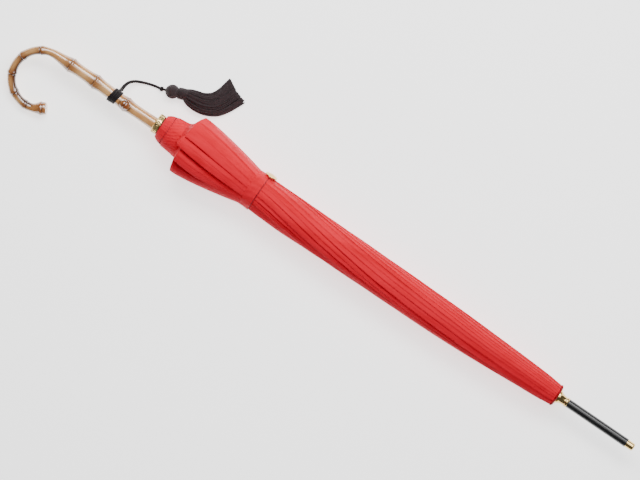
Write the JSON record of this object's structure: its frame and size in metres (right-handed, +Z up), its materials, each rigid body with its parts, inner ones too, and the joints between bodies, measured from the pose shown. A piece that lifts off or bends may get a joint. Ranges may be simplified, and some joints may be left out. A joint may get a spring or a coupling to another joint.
{
  "type": "stick umbrella",
  "caption": "Furled long stick umbrella with a cane crook handle, a tassel on the grip, a strapped cloth canopy on hinged ribs and a long ferrule.",
  "frame": {"origin": "centre of the base it lies on, measured without the tassel", "axes": "+X along the shaft from the crook to the ferrule tip, +Z up, the crook lies towards -Y"},
  "size_m": [0.9188, 0.1768, 0.0675],
  "materials": {
    "bamboo": "high gloss lacquer",
    "pale_gold": "polished",
    "black_enamel": "gloss",
    "black_tube": "gloss",
    "black_steel": "satin",
    "black_plastic": "satin",
    "steel": "satin",
    "red_cloth": "smooth woven cloth",
    "dark_yarn": "twisted yarn"
  },
  "bodies": {
    "frame": {"shaft": "black_steel", "handle": "bamboo", "handle_pin": "pale_gold", "grip_band": "dark_yarn", "collar": "pale_gold", "collar_inlay": "black_enamel", "tip_cup": "black_plastic", "crown": "black_plastic", "crown_wire": "steel", "crown_pin": "steel", "canopy_gather": "red_cloth", "rosette": "red_cloth", "cap_seat": "pale_gold", "top_cap": "pale_gold", "ferrule_tube": "black_tube", "ferrule_tip": "pale_gold"},
    "runner": {"runner": "black_plastic"},
    "tassel": {"tassel_cord": "dark_yarn", "tassel_knot": "dark_yarn", "tassel_head": "dark_yarn", "tassel_neck": "dark_yarn", "tassel_skirt": "dark_yarn"},
    "bottom_catch": {"bottom_catch": "steel"},
    "top_catch": {"top_catch": "steel"},
    "rib_0": {"rib_0": "steel", "canopy_0": "red_cloth", "strap": "red_cloth", "strap_button": "pale_gold"},
    "stretcher_0": {"stretcher_0": "steel"},
    "panel_fold_0": {"panel_fold_0": "red_cloth"},
    "rib_1": {"rib_1": "steel", "canopy_1": "red_cloth"},
    "stretcher_1": {"stretcher_1": "steel"},
    "panel_fold_1": {"panel_fold_1": "red_cloth"},
    "rib_2": {"rib_2": "steel", "canopy_2": "red_cloth"},
    "stretcher_2": {"stretcher_2": "steel"},
    "panel_fold_2": {"panel_fold_2": "red_cloth"},
    "rib_3": {"rib_3": "steel", "canopy_3": "red_cloth"},
    "stretcher_3": {"stretcher_3": "steel"},
    "panel_fold_3": {"panel_fold_3": "red_cloth"},
    "rib_4": {"rib_4": "steel", "canopy_4": "red_cloth"},
    "stretcher_4": {"stretcher_4": "steel"},
    "panel_fold_4": {"panel_fold_4": "red_cloth"},
    "rib_5": {"rib_5": "steel", "canopy_5": "red_cloth"},
    "stretcher_5": {"stretcher_5": "steel"},
    "panel_fold_5": {"panel_fold_5": "red_cloth"},
    "rib_6": {"rib_6": "steel", "canopy_6": "red_cloth"},
    "stretcher_6": {"stretcher_6": "steel"},
    "panel_fold_6": {"panel_fold_6": "red_cloth"},
    "rib_7": {"rib_7": "steel", "canopy_7": "red_cloth"},
    "stretcher_7": {"stretcher_7": "steel"},
    "panel_fold_7": {"panel_fold_7": "red_cloth"}
  },
  "joints": [
    {"name": "runner_slide", "type": "slide", "parent": "frame", "child": "runner", "axis": [1, 0, 0], "range_m": [0, 0.36622], "deforming": ["strap"]},
    {"name": "rib_hinge_0", "type": "hinge", "parent": "frame", "child": "rib_0", "pos_m": [0.32139, 0.02848, 0.027], "axis": [0, 0, -1], "range_deg": [0, 72.01]},
    {"name": "stretcher_hinge_0", "type": "hinge", "parent": "rib_0", "child": "stretcher_0", "pos_m": [0.0564, 0.02848, 0.027], "axis": [0, 0, -1], "range_deg": [-144.02, 0]},
    {"name": "panel_hinge_0", "type": "hinge", "parent": "rib_0", "child": "panel_fold_0", "pos_m": [0.32139, 0.02848, 0.03056], "axis": [0, 0.9919, 0.127], "range_deg": [0, 42.7]},
    {"name": "rib_hinge_1", "type": "hinge", "parent": "frame", "child": "rib_1", "pos_m": [0.32139, 0.02596, 0.03308], "axis": [0, 0.7071, -0.7071], "range_deg": [0, 72.01]},
    {"name": "stretcher_hinge_1", "type": "hinge", "parent": "rib_1", "child": "stretcher_1", "pos_m": [0.0564, 0.02596, 0.03308], "axis": [0, 0.7071, -0.7071], "range_deg": [-144.02, 0]},
    {"name": "panel_hinge_1", "type": "hinge", "parent": "rib_1", "child": "panel_fold_1", "pos_m": [0.32139, 0.02344, 0.0356], "axis": [0, 0.6116, 0.7912], "range_deg": [0, 42.7]},
    {"name": "rib_hinge_2", "type": "hinge", "parent": "frame", "child": "rib_2", "pos_m": [0.32139, 0.01988, 0.0356], "axis": [0, 1, 0], "range_deg": [0, 72.01]},
    {"name": "stretcher_hinge_2", "type": "hinge", "parent": "rib_2", "child": "stretcher_2", "pos_m": [0.0564, 0.01988, 0.0356], "axis": [0, 1, 0], "range_deg": [-144.02, 0]},
    {"name": "panel_hinge_2", "type": "hinge", "parent": "rib_2", "child": "panel_fold_2", "pos_m": [0.32139, 0.01632, 0.0356], "axis": [0, -0.127, 0.9919], "range_deg": [0, 42.7]},
    {"name": "rib_hinge_3", "type": "hinge", "parent": "frame", "child": "rib_3", "pos_m": [0.32139, 0.0138, 0.03308], "axis": [0, 0.7071, 0.7071], "range_deg": [0, 72.01]},
    {"name": "stretcher_hinge_3", "type": "hinge", "parent": "rib_3", "child": "stretcher_3", "pos_m": [0.0564, 0.0138, 0.03308], "axis": [0, 0.7071, 0.7071], "range_deg": [-144.02, 0]},
    {"name": "panel_hinge_3", "type": "hinge", "parent": "rib_3", "child": "panel_fold_3", "pos_m": [0.32139, 0.01128, 0.03056], "axis": [0, -0.7912, 0.6116], "range_deg": [0, 42.7]},
    {"name": "rib_hinge_4", "type": "hinge", "parent": "frame", "child": "rib_4", "pos_m": [0.32139, 0.01128, 0.027], "axis": [0, 0, 1], "range_deg": [0, 72.01]},
    {"name": "stretcher_hinge_4", "type": "hinge", "parent": "rib_4", "child": "stretcher_4", "pos_m": [0.0564, 0.01128, 0.027], "axis": [0, 0, 1], "range_deg": [-144.02, 0]},
    {"name": "panel_hinge_4", "type": "hinge", "parent": "rib_4", "child": "panel_fold_4", "pos_m": [0.32139, 0.01128, 0.02344], "axis": [0, -0.9919, -0.127], "range_deg": [0, 42.7]},
    {"name": "rib_hinge_5", "type": "hinge", "parent": "frame", "child": "rib_5", "pos_m": [0.32139, 0.0138, 0.02092], "axis": [0, -0.7071, 0.7071], "range_deg": [0, 72.01]},
    {"name": "stretcher_hinge_5", "type": "hinge", "parent": "rib_5", "child": "stretcher_5", "pos_m": [0.0564, 0.0138, 0.02092], "axis": [0, -0.7071, 0.7071], "range_deg": [-144.02, 0]},
    {"name": "panel_hinge_5", "type": "hinge", "parent": "rib_5", "child": "panel_fold_5", "pos_m": [0.32139, 0.01632, 0.0184], "axis": [0, -0.6116, -0.7912], "range_deg": [0, 42.7]},
    {"name": "rib_hinge_6", "type": "hinge", "parent": "frame", "child": "rib_6", "pos_m": [0.32139, 0.01988, 0.0184], "axis": [0, -1, 0], "range_deg": [0, 72.01]},
    {"name": "stretcher_hinge_6", "type": "hinge", "parent": "rib_6", "child": "stretcher_6", "pos_m": [0.0564, 0.01988, 0.0184], "axis": [0, -1, 0], "range_deg": [-144.02, 0]},
    {"name": "panel_hinge_6", "type": "hinge", "parent": "rib_6", "child": "panel_fold_6", "pos_m": [0.32139, 0.02344, 0.0184], "axis": [0, 0.127, -0.9919], "range_deg": [0, 42.7]},
    {"name": "rib_hinge_7", "type": "hinge", "parent": "frame", "child": "rib_7", "pos_m": [0.32139, 0.02596, 0.02092], "axis": [0, -0.7071, -0.7071], "range_deg": [0, 72.01]},
    {"name": "stretcher_hinge_7", "type": "hinge", "parent": "rib_7", "child": "stretcher_7", "pos_m": [0.0564, 0.02596, 0.02092], "axis": [0, -0.7071, -0.7071], "range_deg": [-144.02, 0]},
    {"name": "panel_hinge_7", "type": "hinge", "parent": "rib_7", "child": "panel_fold_7", "pos_m": [0.32139, 0.02848, 0.02344], "axis": [0, 0.7912, -0.6116], "range_deg": [0, 42.7]},
    {"name": "tassel_swing", "type": "hinge", "parent": "frame", "child": "tassel", "pos_m": [-0.3256, 0.02848, 0.022], "axis": [0, 0, 1], "range_deg": [0, 20]},
    {"name": "bottom_catch_press", "type": "slide", "parent": "frame", "child": "bottom_catch", "axis": [0, -0.9239, -0.3827], "range_m": [0, 0.0012], "stiffness_N_per_m": 600},
    {"name": "top_catch_press", "type": "slide", "parent": "frame", "child": "top_catch", "axis": [0, -0.9239, -0.3827], "range_m": [0, 0.0012], "stiffness_N_per_m": 600}
  ],
  "couplings": [
    {"joint": "rib_hinge_0", "follows": "runner_slide", "rad_per_m": 3.4314},
    {"joint": "stretcher_hinge_0", "follows": "runner_slide", "rad_per_m": -6.8627},
    {"joint": "panel_hinge_0", "follows": "runner_slide", "rad_per_m": 2.0343},
    {"joint": "rib_hinge_1", "follows": "runner_slide", "rad_per_m": 3.4314},
    {"joint": "stretcher_hinge_1", "follows": "runner_slide", "rad_per_m": -6.8627},
    {"joint": "panel_hinge_1", "follows": "runner_slide", "rad_per_m": 2.0343},
    {"joint": "rib_hinge_2", "follows": "runner_slide", "rad_per_m": 3.4314},
    {"joint": "stretcher_hinge_2", "follows": "runner_slide", "rad_per_m": -6.8627},
    {"joint": "panel_hinge_2", "follows": "runner_slide", "rad_per_m": 2.0343},
    {"joint": "rib_hinge_3", "follows": "runner_slide", "rad_per_m": 3.4314},
    {"joint": "stretcher_hinge_3", "follows": "runner_slide", "rad_per_m": -6.8627},
    {"joint": "panel_hinge_3", "follows": "runner_slide", "rad_per_m": 2.0343},
    {"joint": "rib_hinge_4", "follows": "runner_slide", "rad_per_m": 3.4314},
    {"joint": "stretcher_hinge_4", "follows": "runner_slide", "rad_per_m": -6.8627},
    {"joint": "panel_hinge_4", "follows": "runner_slide", "rad_per_m": 2.0343},
    {"joint": "rib_hinge_5", "follows": "runner_slide", "rad_per_m": 3.4314},
    {"joint": "stretcher_hinge_5", "follows": "runner_slide", "rad_per_m": -6.8627},
    {"joint": "panel_hinge_5", "follows": "runner_slide", "rad_per_m": 2.0343},
    {"joint": "rib_hinge_6", "follows": "runner_slide", "rad_per_m": 3.4314},
    {"joint": "stretcher_hinge_6", "follows": "runner_slide", "rad_per_m": -6.8627},
    {"joint": "panel_hinge_6", "follows": "runner_slide", "rad_per_m": 2.0343},
    {"joint": "rib_hinge_7", "follows": "runner_slide", "rad_per_m": 3.4314},
    {"joint": "stretcher_hinge_7", "follows": "runner_slide", "rad_per_m": -6.8627},
    {"joint": "panel_hinge_7", "follows": "runner_slide", "rad_per_m": 2.0343}
  ]
}
